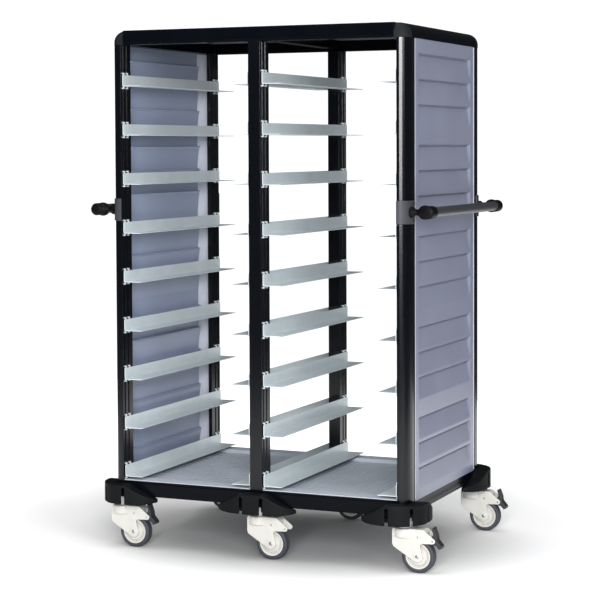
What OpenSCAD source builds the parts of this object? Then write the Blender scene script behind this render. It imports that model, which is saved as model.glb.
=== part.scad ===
// Enclosed two-bay meal tray cart on six swivel casters.
// Origin on the floor under the middle of the cart, X to the right, -Y to the
// front, Z up, millimetres.  The cart is open at the front and the rear.

/* [Frame] */
// Width of the frame over the side posts
frame_w = 970; // [900:10:1200]
// Depth of the frame over the front and rear posts
frame_d = 690; // [600:10:800]
// Height of the roof above the floor
frame_h = 1600; // [1540:10:1800]
// Height of the underside of the frame above the floor
frame_z = 163; // [160:1:200]

/* [Posts] */
// Width of a corner post, seen from the front
side_post_w = 34; // [28:1:50]
// Width of a centre post, seen from the front
centre_post_w = 40; // [30:1:60]
// Depth of every post, front to back
post_d = 64; // [50:1:90]
// Wall of the extruded posts
post_wall = 2.5; // [1.5:0.1:4]
// Radius of the outer edge of a corner post
post_r = 22; // [6:1:28]
// Width of the groove that takes the ledge hooks
groove_w = 8; // [5:0.5:12]
// Depth of that groove
groove_t = 3; // [1:0.5:4]

/* [Base] */
// Height of the front and rear base rails
base_h = 47; // [45:1:70]
// Depth of the front and rear base rails, front to back
base_d = 50; // [40:1:60]
// Width of a side base rail
side_rail_w = 30; // [20:1:40]
// Height of the side base rails and the cross rail
side_rail_h = 45; // [30:1:50]
// Width of the cross rail under the middle
cross_rail_w = 38; // [24:1:60]
// Wall of the base rails
rail_wall = 2.5; // [1.5:0.1:4]
// Height of the step in which a side panel stands
panel_step_h = 10; // [5:1:20]

/* [Floor trays] */
// Thickness of the moulded floor
floor_t = 2.5; // [1.5:0.5:2.5]
// Depth of the floor below its rim
floor_sink = 12; // [6:1:18]
// Pitch of the ribs in the floor
floor_rib_pitch = 18; // [12:1:30]
// Height of those ribs
floor_rib_h = 1.5; // [0.5:0.5:3]

/* [Roof] */
// Height of the roof rails
roof_h = 44; // [34:1:60]
// Width of the roof rails
roof_rail_w = 40; // [32:1:60]
// Radius of the shoulders along both sides of the roof
roof_r = 36; // [10:1:40]
// Radius of the corner caps seen from the side
cap_r = 30; // [10:1:32]
// Length of a corner cap along each rail
cap_len = 42; // [42:1:70]
// Thickness of the roof sheet
roof_sheet_t = 4; // [2:1:8]
// Depth of the roof sheet below the top of the rails
roof_sink = 6; // [2:1:12]
// Height of the centre beam under the roof sheet
beam_h = 28; // [16:1:32]

/* [Side panels] */
// Thickness of the formed panel sheet
panel_t = 4; // [2:0.5:6]
// Number of groups of pads in a panel
pad_groups = 5; // [1:1:5]
// Number of pads in a group
pads_per_group = 3; // [1:1:3]
// Distance of the highest pad from the top of the panel
pad_edge = 42; // [10:1:60]
// Distance of the lowest pad from the foot of the panel
pad_foot = 27; // [12:1:60]
// Pitch of the pads within a group
pad_pitch = 74.5; // [72:0.5:85]
// Height of one pad
pad_h = 66; // [40:1:70]
// Depth of a pad
pad_depth = 9; // [3:0.5:12]
// Flat margin at the front and rear of a panel
pad_margin = 34; // [20:1:60]

/* [Ledges] */
// Number of ledges in each column, as far as the height has room for them
ledge_levels = 9; // [3:1:9]
// Pitch of the ledges
ledge_pitch = 151; // [110:1:155]
// Height of the top of the lowest ledge
ledge_first_z = 223; // [222:1:240]
// Width of the ledge that carries the tray
ledge_w = 60; // [30:1:90]
// Height of the upright web of a ledge
web_h = 33; // [20:1:60]
// Thickness of the ledge sheet
ledge_t = 2; // [1:0.5:3]
// Distance of the web from the face of the post
web_gap = 3; // [2:1:16]
// Height of a hook above the web
hook_up = 7; // [4:0.5:10]
// Depth of a hook below the carrying face of the ledge
hook_down = 9.5; // [7:0.5:9.5]

/* [Push handles] */
// Height of the handle tube above the floor
handle_z = 1050; // [800:10:1300]
// Distance of the tube axis from the side of the frame
handle_reach = 59; // [45:1:62]
// Diameter of the handle tube
tube_d = 30; // [22:1:34]
// Wall of the handle tube
tube_wall = 2; // [1:0.5:4]
// Diameter of the socket that holds the tube
socket_d = 38; // [36:1:44]
// Length of the socket along the tube
socket_len = 45; // [30:1:60]
// Height of the clamp on the post
clamp_h = 68; // [44:1:90]
// Thickness of the clamp around the post
clamp_t = 5; // [3:0.5:8]

/* [Bumpers] */
// Distance that a bumper stands out from the frame
bumper_out = 45; // [30:1:50]
// Height of the lower edge of a bumper above the floor
bumper_low = 142; // [141:1:148]
// Height of the top of a bumper beside its post
bumper_top = 203; // [190:1:212]
// Height of the top of a bumper at its tips
bumper_tip = 158; // [150:1:185]
// Reach of a centre bumper from the middle of its post
centre_reach = 128; // [110:1:160]
// Reach of the wings of a corner bumper from its caster stem
corner_reach = 129; // [115:1:140]
// Radius of a corner bumper around the corner of the cart
corner_round = 88; // [70:1:100]
// Wall of the moulded bumper skirt
bumper_wall = 6; // [3:0.5:10]
// Width of a slot in the face of a bumper
slot_w = 10; // [6:1:16]
// Height of the upper end of the slots above the floor
slot_top = 193; // [170:1:193]
// Distance of the slots in a centre bumper from the middle of the post
slot_x = 33; // [25:1:36]

/* [Casters] */
// Diameter of a wheel
wheel_d = 100; // [80:1:102]
// Width of a wheel
wheel_w = 30; // [24:1:36]
// Thickness of the tyre
tyre_t = 8; // [5:0.5:12]
// Distance of the axle behind the swivel axis
trail = 45; // [35:1:48]
// Height of the top of the fork above the floor
fork_top = 130; // [128:1:132]
// Radius of the round fork head
head_r = 32; // [24:1:36]
// Thickness of a fork cheek
cheek_t = 4.5; // [3:0.5:7]
// Diameter of the axle
axle_d = 10; // [8:1:14]
// Diameter of the caster stem
stem_d = 12; // [8:1:16]
// Diameter of the collar above the fork
collar_d = 40; // [24:1:50]
// Distance of a stem from the outer faces of the frame, side to side
stem_in_x = 19; // [15:1:30]
// Distance of a stem from the outer faces of the frame, front to back
stem_in_y = 25; // [21:1:35]
// Diameter of the pin that carries the brake pedal
pin_d = 6; // [4:0.5:8]
// Running clearance around the axle, the stem and the pedal pin
run_fit = 0.1; // [0.05:0.01:0.1]

/* [Hidden] */

$fn = 64;
half_w = frame_w / 2;
half_d = frame_d / 2;
base_top = frame_z + base_h;
roof_low = frame_h - roof_h;
bay_in = centre_post_w / 2;         // face of the centre post
bay_out = half_w - side_post_w;     // inner face of a corner post
tray_head = 50;                     // least room between the top web and the roof
levels_fit = 1 + floor((roof_low - tray_head - web_h - hook_up - ledge_first_z) / ledge_pitch);
levels = min(ledge_levels, levels_fit);
rail_len = frame_d - 2 * post_d;    // clear length between front and rear posts
panel_low = base_top - panel_step_h;
panel_x = half_w - 1;               // outer face of the panel sheet
stem_x = half_w - stem_in_x;
stem_y = half_d - stem_in_y;
wheel_r = wheel_d / 2;
well_gap = 1.5;                     // room between the wheel and a cheek
fork_w = wheel_w + 2 * (well_gap + cheek_t);
well_r = wheel_r + 2.5;             // room over the tread
plate_t = 5;                        // moulded plate between frame and caster
plate_low = frame_z - plate_t;
collar_gap = 0.3;                   // swivel gap between collar and fork
pin_x = trail + wheel_r - 3;        // pedal pin, from the stem axis
pin_z = wheel_r + 48;
tube_x = half_w + handle_reach;
eps = 0.01;

black = [0.08, 0.08, 0.10];
grey = [0.52, 0.54, 0.60];
zinc = [0.66, 0.70, 0.69];
white = [0.90, 0.90, 0.86];
rubber = [0.20, 0.21, 0.25];

// ---- helpers ---------------------------------------------------------------

// Models are drawn for the front right corner and mirrored to the others.
module at_corner(side, end) {
    mirror_if(side < 0, [1, 0, 0]) mirror_if(end > 0, [0, 1, 0]) children();
}

module mirror_if(flip, axis) {
    if (flip) mirror(axis) children();
    else children();
}

// Rectangle with one round corner: it fills x from -w to 0 and y from 0 to d,
// and the corner at the origin is round.
module round_corner(w, d, r) {
    union() {
        translate([-w, 0]) square([w - r, d]);
        translate([-w, r]) square([w, d - r]);
        intersection() {
            translate([-r, r]) circle(r);
            translate([-r, 0]) square(r);
        }
    }
}

// Extrudes a shape drawn in X and Z across the given depth, centred on Y = 0.
module across(depth) {
    rotate([90, 0, 0]) linear_extrude(depth, center = true) children();
}

// Points of an arc around (cx, cy), from angle a0 to a1 in n steps.
function arc(cx, cy, r, a0, a1, n) =
    [for (i = [0:n]) let (a = a0 + (a1 - a0) * i / n) [cx + r * cos(a), cy + r * sin(a)]];

// Square tube along X or Y with closed walls.
module tube_x(len, d, h, wall) {
    difference() {
        translate([-len / 2, 0, 0]) cube([len, d, h]);
        translate([-len / 2 - eps, wall, wall]) cube([len + 2 * eps, d - 2 * wall, h - 2 * wall]);
    }
}

module tube_y(len, w, h, wall) {
    difference() {
        translate([0, -len / 2, 0]) cube([w, len, h]);
        translate([wall, -len / 2 - eps, wall]) cube([w - 2 * wall, len + 2 * eps, h - 2 * wall]);
    }
}

// ---- posts -----------------------------------------------------------------

groove_in = 9;      // distance of the outer groove from the open face of a post
groove_gap = 23;    // distance from the outer groove to the inner groove

// Grooves in a face that looks along X; they run the height of the post.
module grooves(z0, h) {
    for (y = [groove_in, groove_in + groove_gap])
        translate([-eps, y, z0 - eps]) cube([groove_t + eps, groove_w, h + 2 * eps]);
}

module corner_post() {
    h = roof_low - frame_z;
    translate([half_w, -half_d, frame_z]) difference() {
        linear_extrude(h) round_corner(side_post_w, post_d, post_r);
        translate([-post_wall, post_wall, -eps]) linear_extrude(h + 2 * eps)
            round_corner(side_post_w - 2 * post_wall - groove_t, post_d - 2 * post_wall,
                         post_r - post_wall);
        translate([-side_post_w, 0, 0]) grooves(0, h);
    }
}

module centre_post() {
    h = roof_low - base_top;
    core_w = centre_post_w - 2 * (post_wall + groove_t);
    translate([0, -half_d, base_top]) difference() {
        translate([-centre_post_w / 2, 0, 0]) cube([centre_post_w, post_d, h]);
        translate([-core_w / 2, post_wall, -eps]) cube([core_w, post_d - 2 * post_wall, h + 2 * eps]);
        for (side = [0, 1]) mirror([side, 0, 0])
            translate([-centre_post_w / 2, 0, 0]) grooves(0, h);
    }
}

module post_front_left() color(black) at_corner(-1, -1) corner_post();
module post_front_right() color(black) at_corner(1, -1) corner_post();
module post_rear_left() color(black) at_corner(-1, 1) corner_post();
module post_rear_right() color(black) at_corner(1, 1) corner_post();
module post_front_centre() color(black) centre_post();
module post_rear_centre() color(black) mirror([0, 1, 0]) centre_post();

// ---- base ------------------------------------------------------------------

module end_base_rail() {
    translate([0, -half_d, frame_z]) tube_x(2 * bay_out, base_d, base_h, rail_wall);
}

// A side rail is stepped, so that the panel stands on it flush with the posts.
module side_base_rail() {
    h = side_rail_h - panel_step_h;
    step_w = side_rail_w - (half_w - panel_x) - panel_t;
    translate([half_w - side_rail_w, 0, panel_low - h])
        tube_y(rail_len, side_rail_w, h, rail_wall);
    translate([half_w - side_rail_w, 0, panel_low])
        translate([0, -rail_len / 2, 0]) cube([step_w, rail_len, panel_step_h]);
}

module base_rail_front() color(black) end_base_rail();
module base_rail_rear() color(black) mirror([0, 1, 0]) end_base_rail();
module base_rail_left() color(black) mirror([1, 0, 0]) side_base_rail();
module base_rail_right() color(black) side_base_rail();
module base_cross_rail() color(black)
    translate([-cross_rail_w / 2, 0, base_top - side_rail_h])
        tube_y(frame_d - 2 * base_d, cross_rail_w, side_rail_h, rail_wall);

// ---- floor trays -----------------------------------------------------------

floor_play = 0.5;   // room between a tray and the posts beside it
rim_in = 4;         // distance of the sunk floor from the rails around it

module floor_tray() {
    x0 = bay_in + floor_play;
    x1 = bay_out - floor_play;
    y1 = half_d - 4;
    in_y = rail_len / 2 - floor_play;
    in_x1 = half_w - side_rail_w + (side_rail_w - (half_w - panel_x) - panel_t) - floor_play;
    pan_x0 = max(cross_rail_w / 2, bay_in) + rim_in;
    pan_x1 = half_w - side_rail_w - rim_in;
    pan_y = half_d - base_d - rim_in;
    ribs = floor((pan_x1 - pan_x0 - 2 * floor_t - 4) / floor_rib_pitch);
    rib_x = (pan_x0 + pan_x1) / 2 - (ribs - 1) * floor_rib_pitch / 2;
    difference() {
        union() {
            translate([x0, -y1, base_top]) cube([x1 - x0, 2 * y1, floor_t]);
            translate([floor_play, -in_y, base_top])
                cube([in_x1 - floor_play, 2 * in_y, floor_t]);
            translate([pan_x0, -pan_y, base_top - floor_sink])
                cube([pan_x1 - pan_x0, 2 * pan_y, floor_sink + eps]);
        }
        translate([pan_x0 + floor_t, -pan_y + floor_t, base_top - floor_sink + floor_t])
            cube([pan_x1 - pan_x0 - 2 * floor_t, 2 * (pan_y - floor_t), floor_sink + 1]);
    }
    for (i = [0:ribs - 1])
        translate([rib_x + i * floor_rib_pitch - 1, -pan_y + 2 * floor_t,
                   base_top - floor_sink + floor_t - eps])
            cube([2, 2 * (pan_y - 2 * floor_t), floor_rib_h + eps]);
}

module floor_tray_left() color(grey) mirror([1, 0, 0]) floor_tray();
module floor_tray_right() color(grey) floor_tray();

// ---- side panels -----------------------------------------------------------

// Cross-section of one pad in X and Z: a sharp upper edge and a long slope out.
module pad_section(x, top) {
    polygon([[x + 1, top], [x, top], [x - pad_depth, top - 8],
             [x - pad_depth, top - 16], [x, top - pad_h], [x + 1, top - pad_h]]);
}

module side_panel() {
    len = rail_len;
    pad_len = len - 2 * pad_margin;
    top = roof_low - pad_edge;
    group_h = (pads_per_group - 1) * pad_pitch + pad_h;
    group_pitch = (roof_low - panel_low - pad_edge - pad_foot - group_h) / max(pad_groups - 1, 1);
    difference() {
        union() {
            translate([panel_x - panel_t, -len / 2, panel_low])
                cube([panel_t, len, roof_low - panel_low]);
            for (g = [0:pad_groups - 1], p = [0:pads_per_group - 1])
                across(pad_len + 2 * panel_t)
                    pad_section(panel_x - panel_t, top + 1 - g * group_pitch - p * pad_pitch);
        }
        for (g = [0:pad_groups - 1], p = [0:pads_per_group - 1])
            across(pad_len)
                pad_section(panel_x, top - 1 - g * group_pitch - p * pad_pitch);
    }
}

module side_panel_left() color(grey) mirror([1, 0, 0]) side_panel();
module side_panel_right() color(grey) side_panel();

// ---- roof ------------------------------------------------------------------

roof_wall = 3;      // wall of the roof rails
seat_w = 8;         // width of the seat for the roof sheet

module end_roof_rail() {
    len = frame_w - 2 * cap_len;
    translate([-len / 2, -half_d, roof_low]) difference() {
        cube([len, roof_rail_w, roof_h]);
        translate([-eps, roof_wall, roof_wall])
            cube([len + 2 * eps, roof_rail_w - 2 * roof_wall, beam_low_clear()]);
        translate([-eps, roof_rail_w - seat_w, roof_h - roof_sink - roof_sheet_t])
            cube([len + 2 * eps, seat_w + eps, roof_sink + roof_sheet_t + eps]);
    }
}

// Clear height inside a roof rail, below the seat of the roof sheet.
function beam_low_clear() = roof_h - roof_sink - roof_sheet_t - 2 * roof_wall;

module side_roof_rail() {
    len = frame_d - 2 * cap_len;
    difference() {
        translate([half_w, 0, roof_low]) across(len) roof_shoulder(roof_rail_w, roof_h, roof_r);
        translate([half_w - roof_wall, 0, roof_low + roof_wall]) across(len + 2 * eps)
            roof_hollow(roof_rail_w - 2 * roof_wall, beam_low_clear(), roof_r - roof_wall);
        translate([half_w - roof_rail_w - eps, -len / 2 - eps, frame_h - roof_sink - roof_sheet_t])
            cube([seat_w + eps, len + 2 * eps, roof_sink + roof_sheet_t + 1]);
    }
}

// Section of a rail with a round outer top edge; the origin is the outer foot.
module roof_shoulder(w, h, r) {
    union() {
        translate([-w, 0]) square([w - r, h]);
        translate([-w, 0]) square([w, h - r]);
        intersection() {
            translate([-r, h - r]) circle(r);
            translate([-r, h - r]) square(r);
        }
    }
}

// Hollow of a side rail: it follows the round edge and stops under the seat.
module roof_hollow(w, h, r) {
    intersection() {
        roof_shoulder(w, roof_h - 2 * roof_wall, r);
        translate([-w, 0]) square([w, h]);
    }
}

// A corner cap is round in plan, from the front and from the side.
module corner_cap() {
    difference() {
        intersection() {
            translate([half_w, -half_d, roof_low]) linear_extrude(roof_h)
                round_corner(cap_len, cap_len, post_r);
            translate([half_w, -half_d + cap_len / 2, roof_low]) across(cap_len + 2)
                roof_shoulder(cap_len + 1, roof_h, roof_r);
            translate([half_w - cap_len / 2, -half_d, roof_low])
                rotate([0, 0, -90]) across(cap_len + 2) roof_shoulder(cap_len + 1, roof_h, cap_r);
        }
        translate([half_w - cap_len - eps, -half_d + roof_rail_w - seat_w,
                   frame_h - roof_sink - roof_sheet_t])
            cube([cap_len - roof_rail_w + seat_w + eps, cap_len, roof_sink + roof_sheet_t + 1]);
    }
}

module roof_rail_front() color(black) end_roof_rail();
module roof_rail_rear() color(black) mirror([0, 1, 0]) end_roof_rail();
module roof_rail_left() color(black) mirror([1, 0, 0]) side_roof_rail();
module roof_rail_right() color(black) side_roof_rail();
module roof_corner_caps() color(black)
    for (side = [-1, 1], end = [-1, 1]) at_corner(side, end) corner_cap();

module roof_sheet() color(grey) {
    w = frame_w - 2 * (roof_rail_w - seat_w);
    d = frame_d - 2 * (roof_rail_w - seat_w);
    translate([-w / 2, -d / 2, frame_h - roof_sink - roof_sheet_t]) cube([w, d, roof_sheet_t]);
}

module roof_centre_beam() color(black)
    translate([-centre_post_w / 2, 0, frame_h - roof_sink - roof_sheet_t - beam_h])
        tube_y(frame_d - 2 * roof_rail_w, centre_post_w, beam_h, roof_wall);

// ---- ledges ----------------------------------------------------------------

ledge_in = 5;       // distance of the ledge ends from the faces of the cart
prong_h = 4;        // height of a prong in the groove

// One ledge for the face of a post at x = 0, with the bay on its +X side. At
// each end it has two narrow hooks, one for each groove of the post.
module ledge() {
    len = frame_d - 2 * ledge_in;
    hook_w = groove_w - 2;
    translate([web_gap, -len / 2, -ledge_t]) cube([ledge_t, len, web_h + ledge_t]);
    translate([web_gap, -len / 2, -ledge_t]) cube([ledge_w, len, ledge_t]);
    for (end = [0, 1], y = [groove_in, groove_in + groove_gap])
        mirror([0, end, 0]) translate([0, -half_d + y + 1, 0]) {
            translate([web_gap, 0, -hook_down])
                cube([ledge_t, hook_w, hook_down + web_h + hook_up]);
            for (z = [-hook_down, web_h + hook_up - prong_h])
                translate([-groove_t, 0, z]) cube([web_gap + groove_t + eps, hook_w, prong_h]);
        }
}

module ledge_column(face_x) {
    for (i = [0:levels - 1])
        translate([face_x, 0, ledge_first_z + i * ledge_pitch]) ledge();
}

module ledges_left_outer() color(zinc) ledge_column(-bay_out);
module ledges_left_inner() color(zinc) mirror([1, 0, 0]) ledge_column(bay_in);
module ledges_right_inner() color(zinc) ledge_column(bay_in);
module ledges_right_outer() color(zinc) mirror([1, 0, 0]) ledge_column(-bay_out);

// ---- bumpers ---------------------------------------------------------------

tip_in = 10;        // distance of the wing tips under the frame
side_more = 12;     // extra reach of the wing at the side of a corner bumper
foot_w = 56;        // half width of the plate over a caster
slot_back = 9;      // distance of a slot in the front or side from the round corner

// Side view of a wing: level beside the slots, then falling to the tip, with a
// lower edge that lifts towards the tip.
module wing_view(inner, crest, reach) {
    fall = [[0, 0], [0.1, 0.05], [0.2, 0.17], [0.4, 0.41], [0.6, 0.63], [0.8, 0.82], [1, 1]];
    polygon(concat([[inner, bumper_low], [inner, bumper_top]],
                   [for (f = fall) [crest + f[0] * (reach - crest),
                                    bumper_top + f[1] * (bumper_tip - bumper_top)]],
                   [[reach, bumper_low + 5], [reach - 12, bumper_low + 3],
                    [reach - 28, bumper_low + 1], [reach - 45, bumper_low]]));
}

// Points of an arc of an ellipse around (cx, cy), in n steps.
function bow(cx, cy, rx, ry, a0, a1, n) =
    [for (i = [0:n]) let (a = a0 + (a1 - a0) * i / n) [cx + rx * cos(a), cy + ry * sin(a)]];

// Plate under the frame over one caster.
module foot_plate(x0, x1, y0, y1) {
    translate([x0, y0, plate_low]) cube([x1 - x0, y1 - y0, plate_t]);
}

// Room for the collar of the caster, and the bore for its stem.
module caster_hole(x) translate([x, -stem_y, bumper_low - 1]) {
    cylinder(h = plate_low - bumper_low + 1, d = collar_d + 8);
    cylinder(h = frame_z - bumper_low + 2, d = stem_d);
}

// The bumper is hollow behind its slots and open underneath.
module centre_bumper() {
    tip_y = -half_d + tip_in;
    rx = centre_reach;
    ry = bumper_out + tip_in;
    inset = bumper_wall;
    difference() {
        union() {
            intersection() {
                translate([0, 0, bumper_low]) linear_extrude(bumper_top - bumper_low)
                    polygon(bow(0, tip_y, rx, ry, 180, 360, 32));
                translate([0, -half_d, 0]) across(4 * ry)
                    for (side = [0, 1]) mirror([side, 0]) wing_view(-eps, slot_x, rx);
            }
            foot_plate(-foot_w, foot_w, -half_d, -stem_y + foot_w / 2);
        }
        translate([-rx, -half_d, frame_z]) cube([2 * rx, 2 * tip_in, bumper_top]);
        translate([0, 0, bumper_low - 1]) linear_extrude(plate_low - bumper_low + 1)
            polygon(bow(0, tip_y - inset, rx - 4 * inset, ry - 2 * inset, 180, 360, 24));
        translate([0, 0, bumper_low - 1]) linear_extrude(slot_top - bumper_low + 1)
            intersection() {
                polygon(bow(0, tip_y, rx - inset, ry - inset, 180, 360, 24));
                translate([-slot_x - slot_w, -half_d - bumper_out])
                    square([2 * (slot_x + slot_w), bumper_out]);
            }
        for (side = [-1, 1])
            translate([side * slot_x - slot_w / 2, -half_d - bumper_out - 1, bumper_low - 1])
                cube([slot_w, 2 * inset, slot_top - bumper_low + 1]);
        caster_hole(0);
    }
}

// Plan of a corner bumper: a bow at the front, a round corner and a bow at the side.
function corner_plan(inset) =
    let (cx = half_w + bumper_out - corner_round, cy = corner_round - half_d - bumper_out,
         fx = stem_x - corner_reach, sy = corner_reach + side_more - stem_y,
         deep = bumper_out + tip_in - inset)
    concat(bow(cx - slot_back, tip_in - half_d, cx - slot_back - fx - inset, deep, 180, 270, 14),
           bow(cx, cy, corner_round - inset, corner_round - inset, 270, 360, 16),
           bow(half_w - tip_in, cy + slot_back, deep, sy - cy - slot_back - inset, 0, 90, 14));

module corner_bumper() {
    cx = half_w + bumper_out - corner_round;
    cy = corner_round - half_d - bumper_out;
    fx = stem_x - corner_reach;
    sy = corner_reach + side_more - stem_y;
    inset = bumper_wall;
    slot_h = slot_top - bumper_low + 1;
    plate_x = stem_x - foot_w;
    plate_y = foot_w - stem_y;
    difference() {
        union() {
            intersection() {
                translate([0, 0, bumper_low]) linear_extrude(bumper_top - bumper_low)
                    polygon(concat(corner_plan(0), [[half_w - tip_in - 8, plate_y],
                                                    [plate_x, tip_in + 8 - half_d]]));
                translate([stem_x, 0, 0]) mirror([1, 0, 0]) across(4 * frame_d)
                    wing_view(-2 * corner_reach, stem_x - cx + slot_back, corner_reach);
                translate([0, -stem_y, 0]) rotate([0, 0, 90]) across(4 * frame_w)
                    wing_view(-2 * corner_reach, cy + slot_back + stem_y,
                              corner_reach + side_more);
            }
            foot_plate(plate_x, half_w, -half_d, plate_y);
        }
        translate([fx - 1, -half_d, frame_z])
            cube([half_w - fx + 1, sy + half_d + 1, bumper_top]);
        translate([0, 0, bumper_low - 1]) linear_extrude(plate_low - bumper_low + 1)
            difference() {
                polygon(concat(corner_plan(2 * inset), [[cx, cy]]));
                translate([fx, tip_in - half_d - inset])
                    square([half_w - tip_in + inset - fx, sy + half_d]);
            }
        translate([0, 0, bumper_low - 1]) linear_extrude(slot_h)
            intersection() {
                polygon(concat(corner_plan(inset), [[cx, cy]]));
                difference() {
                    translate([cx - slot_back - slot_w, -half_d - bumper_out])
                        square(corner_round + slot_back + slot_w);
                    translate([0, -half_d]) square([half_w, frame_d]);
                }
            }
        translate([cx, cy, bumper_low - 1]) {
            translate([-slot_back - slot_w / 2, -corner_round - 1, 0])
                cube([slot_w, 2 * inset, slot_h]);
            translate([corner_round + 1 - 2 * inset, slot_back - slot_w / 2, 0])
                cube([2 * inset, slot_w, slot_h]);
            rotate([0, 0, -45]) translate([corner_round + 1 - 2 * inset, -slot_w / 2, 0])
                cube([2 * inset, slot_w, slot_h]);
        }
        caster_hole(stem_x);
    }
}

module bumper_front_left() color(black) at_corner(-1, -1) corner_bumper();
module bumper_front_right() color(black) at_corner(1, -1) corner_bumper();
module bumper_rear_left() color(black) at_corner(-1, 1) corner_bumper();
module bumper_rear_right() color(black) at_corner(1, 1) corner_bumper();
module bumper_front_centre() color(black) centre_bumper();
module bumper_rear_centre() color(black) mirror([0, 1, 0]) centre_bumper();

// ---- casters ---------------------------------------------------------------

stem_low = fork_top - 22;           // lower end of the stem in the fork
bore_low = stem_low - 1;

// Collar and stem of one caster, fixed under the frame.
module caster_stem() {
    translate([0, 0, fork_top + collar_gap])
        cylinder(h = plate_low - fork_top - collar_gap, d = collar_d);
    translate([0, 0, stem_low]) cylinder(h = frame_z - stem_low, d = stem_d);
}

module caster_stems() color(zinc)
    for (x = [-stem_x, 0, stem_x], y = [-stem_y, stem_y]) translate([x, y, 0]) caster_stem();

boss_r = 17;        // radius of the fork around the axle
finger_r = 8;       // radius of the finger that carries the pedal
finger_x = pin_x;

// Side view of the fork in X and Z.
module fork_view() {
    union() {
        polygon([[-head_r, fork_top], [-head_r, wheel_r + 33], [3 - head_r, wheel_r + 26],
                 [trail - 0.63 * boss_r, wheel_r - 0.78 * boss_r], [trail, wheel_r],
                 [trail + boss_r - 4, wheel_r], [trail + 9, wheel_r + 33],
                 [trail + 14, wheel_r + 38], [finger_x, pin_z - finger_r],
                 [finger_x + 4, pin_z + finger_r - 1], [trail + 22, fork_top - 3],
                 [trail + 16, fork_top]]);
        translate([trail, wheel_r]) circle(boss_r);
        translate([finger_x, pin_z]) circle(finger_r);
    }
}

module fork() {
    difference() {
        union() {
            intersection() {
                across(fork_w) fork_view();
                union() {
                    cylinder(h = fork_top, r = head_r);
                    translate([0, -fork_w / 2, 0]) cube([2 * wheel_d, fork_w, fork_top]);
                }
            }
            translate([0, 0, wheel_r + 54]) cylinder(h = fork_top - 3 - wheel_r - 54, r = head_r);
            translate([0, 0, fork_top - 3]) cylinder(h = 3, r1 = head_r, r2 = head_r - 3);
        }
        translate([trail, 0, wheel_r]) rotate([90, 0, 0])
            cylinder(h = wheel_w + 2 * well_gap, r = well_r, center = true);
        translate([trail - well_r, -wheel_w / 2 - well_gap, 0])
            cube([2 * well_r, wheel_w + 2 * well_gap, wheel_r]);
        translate([pin_x - 20, -wheel_w / 2 - well_gap, wheel_r])
            cube([60, wheel_w + 2 * well_gap, 100]);
        translate([0, 0, bore_low]) cylinder(h = 40, d = stem_d + 2 * run_fit);
    }
    translate([trail, 0, wheel_r]) rotate([90, 0, 0])
        cylinder(h = fork_w - 2, d = axle_d, center = true);
    translate([pin_x, 0, pin_z]) rotate([90, 0, 0])
        cylinder(h = fork_w - 2, d = pin_d, center = true);
}

module rim() {
    r = wheel_r - tyre_t;
    w = wheel_w / 2;
    bore = axle_d / 2 + run_fit;
    side = [[bore, w], [14, w], [16, w - 4], [r - 9, w - 4], [r - 7, w - 2], [r, w - 2]];
    translate([trail, 0, wheel_r]) rotate([90, 0, 0]) rotate_extrude()
        polygon(concat(side, [for (i = [5:-1:0]) [side[i][0], -side[i][1]]]));
}

module tyre() {
    r = wheel_r - tyre_t;
    w = wheel_w / 2;
    side = [[r, w - 2], [r + 2, w], [wheel_r - 4, w], [wheel_r - 1.5, w - 2],
            [wheel_r - 0.4, w - 5], [wheel_r, w - 9]];
    translate([trail, 0, wheel_r]) rotate([90, 0, 0]) rotate_extrude()
        polygon(concat(side, [for (i = [5:-1:0]) [side[i][0], -side[i][1]]]));
}

pedal_top = fork_top + 6;

// The pedal hangs on its pin between the fingers; its shoe stands off the tread.
module brake_pedal() {
    x = pin_x;
    z = pin_z;
    difference() {
        across(wheel_w) polygon([
            [x - 4, pedal_top - 1], [x + 1, pedal_top], [x + 9, z + 17], [x + 11, z + 2],
            [x + 25, z - 14], [x + 25, z - 21], [x + 18, z - 24], [x + 9, z - 14],
            [x, z - 12], [x - 8, z - 14.5], [x - 10, z - 6], [x - 7, z + 8], [x + 1, z + 19]]);
        translate([x, 0, z]) rotate([90, 0, 0])
            cylinder(h = wheel_w + 2, d = pin_d + 2 * run_fit, center = true);
    }
}

module at_stem(side, end) translate([side * stem_x, end * stem_y, 0]) children();

module fork_front_left() color(white) at_stem(-1, -1) fork();
module fork_front_centre() color(white) at_stem(0, -1) fork();
module fork_front_right() color(white) at_stem(1, -1) fork();
module fork_rear_left() color(white) at_stem(-1, 1) fork();
module fork_rear_centre() color(white) at_stem(0, 1) fork();
module fork_rear_right() color(white) at_stem(1, 1) fork();
module rim_front_left() color(white) at_stem(-1, -1) rim();
module rim_front_centre() color(white) at_stem(0, -1) rim();
module rim_front_right() color(white) at_stem(1, -1) rim();
module rim_rear_left() color(white) at_stem(-1, 1) rim();
module rim_rear_centre() color(white) at_stem(0, 1) rim();
module rim_rear_right() color(white) at_stem(1, 1) rim();
module tyre_front_left() color(rubber) at_stem(-1, -1) tyre();
module tyre_front_centre() color(rubber) at_stem(0, -1) tyre();
module tyre_front_right() color(rubber) at_stem(1, -1) tyre();
module tyre_rear_left() color(rubber) at_stem(-1, 1) tyre();
module tyre_rear_centre() color(rubber) at_stem(0, 1) tyre();
module tyre_rear_right() color(rubber) at_stem(1, 1) tyre();
module brake_pedal_front_left() color(black) at_stem(-1, -1) brake_pedal();
module brake_pedal_front_right() color(black) at_stem(1, -1) brake_pedal();
module brake_pedal_rear_left() color(black) at_stem(-1, 1) brake_pedal();
module brake_pedal_rear_right() color(black) at_stem(1, 1) brake_pedal();

// ---- push handles ----------------------------------------------------------

socket_end = 4;     // closed end of a socket
tube_half = half_d - 2 - socket_end;

module handle_tube() {
    translate([tube_x, 0, handle_z]) rotate([90, 0, 0]) difference() {
        cylinder(h = 2 * tube_half, d = tube_d, center = true);
        cylinder(h = 2 * tube_half + 1, d = tube_d - 2 * tube_wall, center = true);
    }
}

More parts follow.
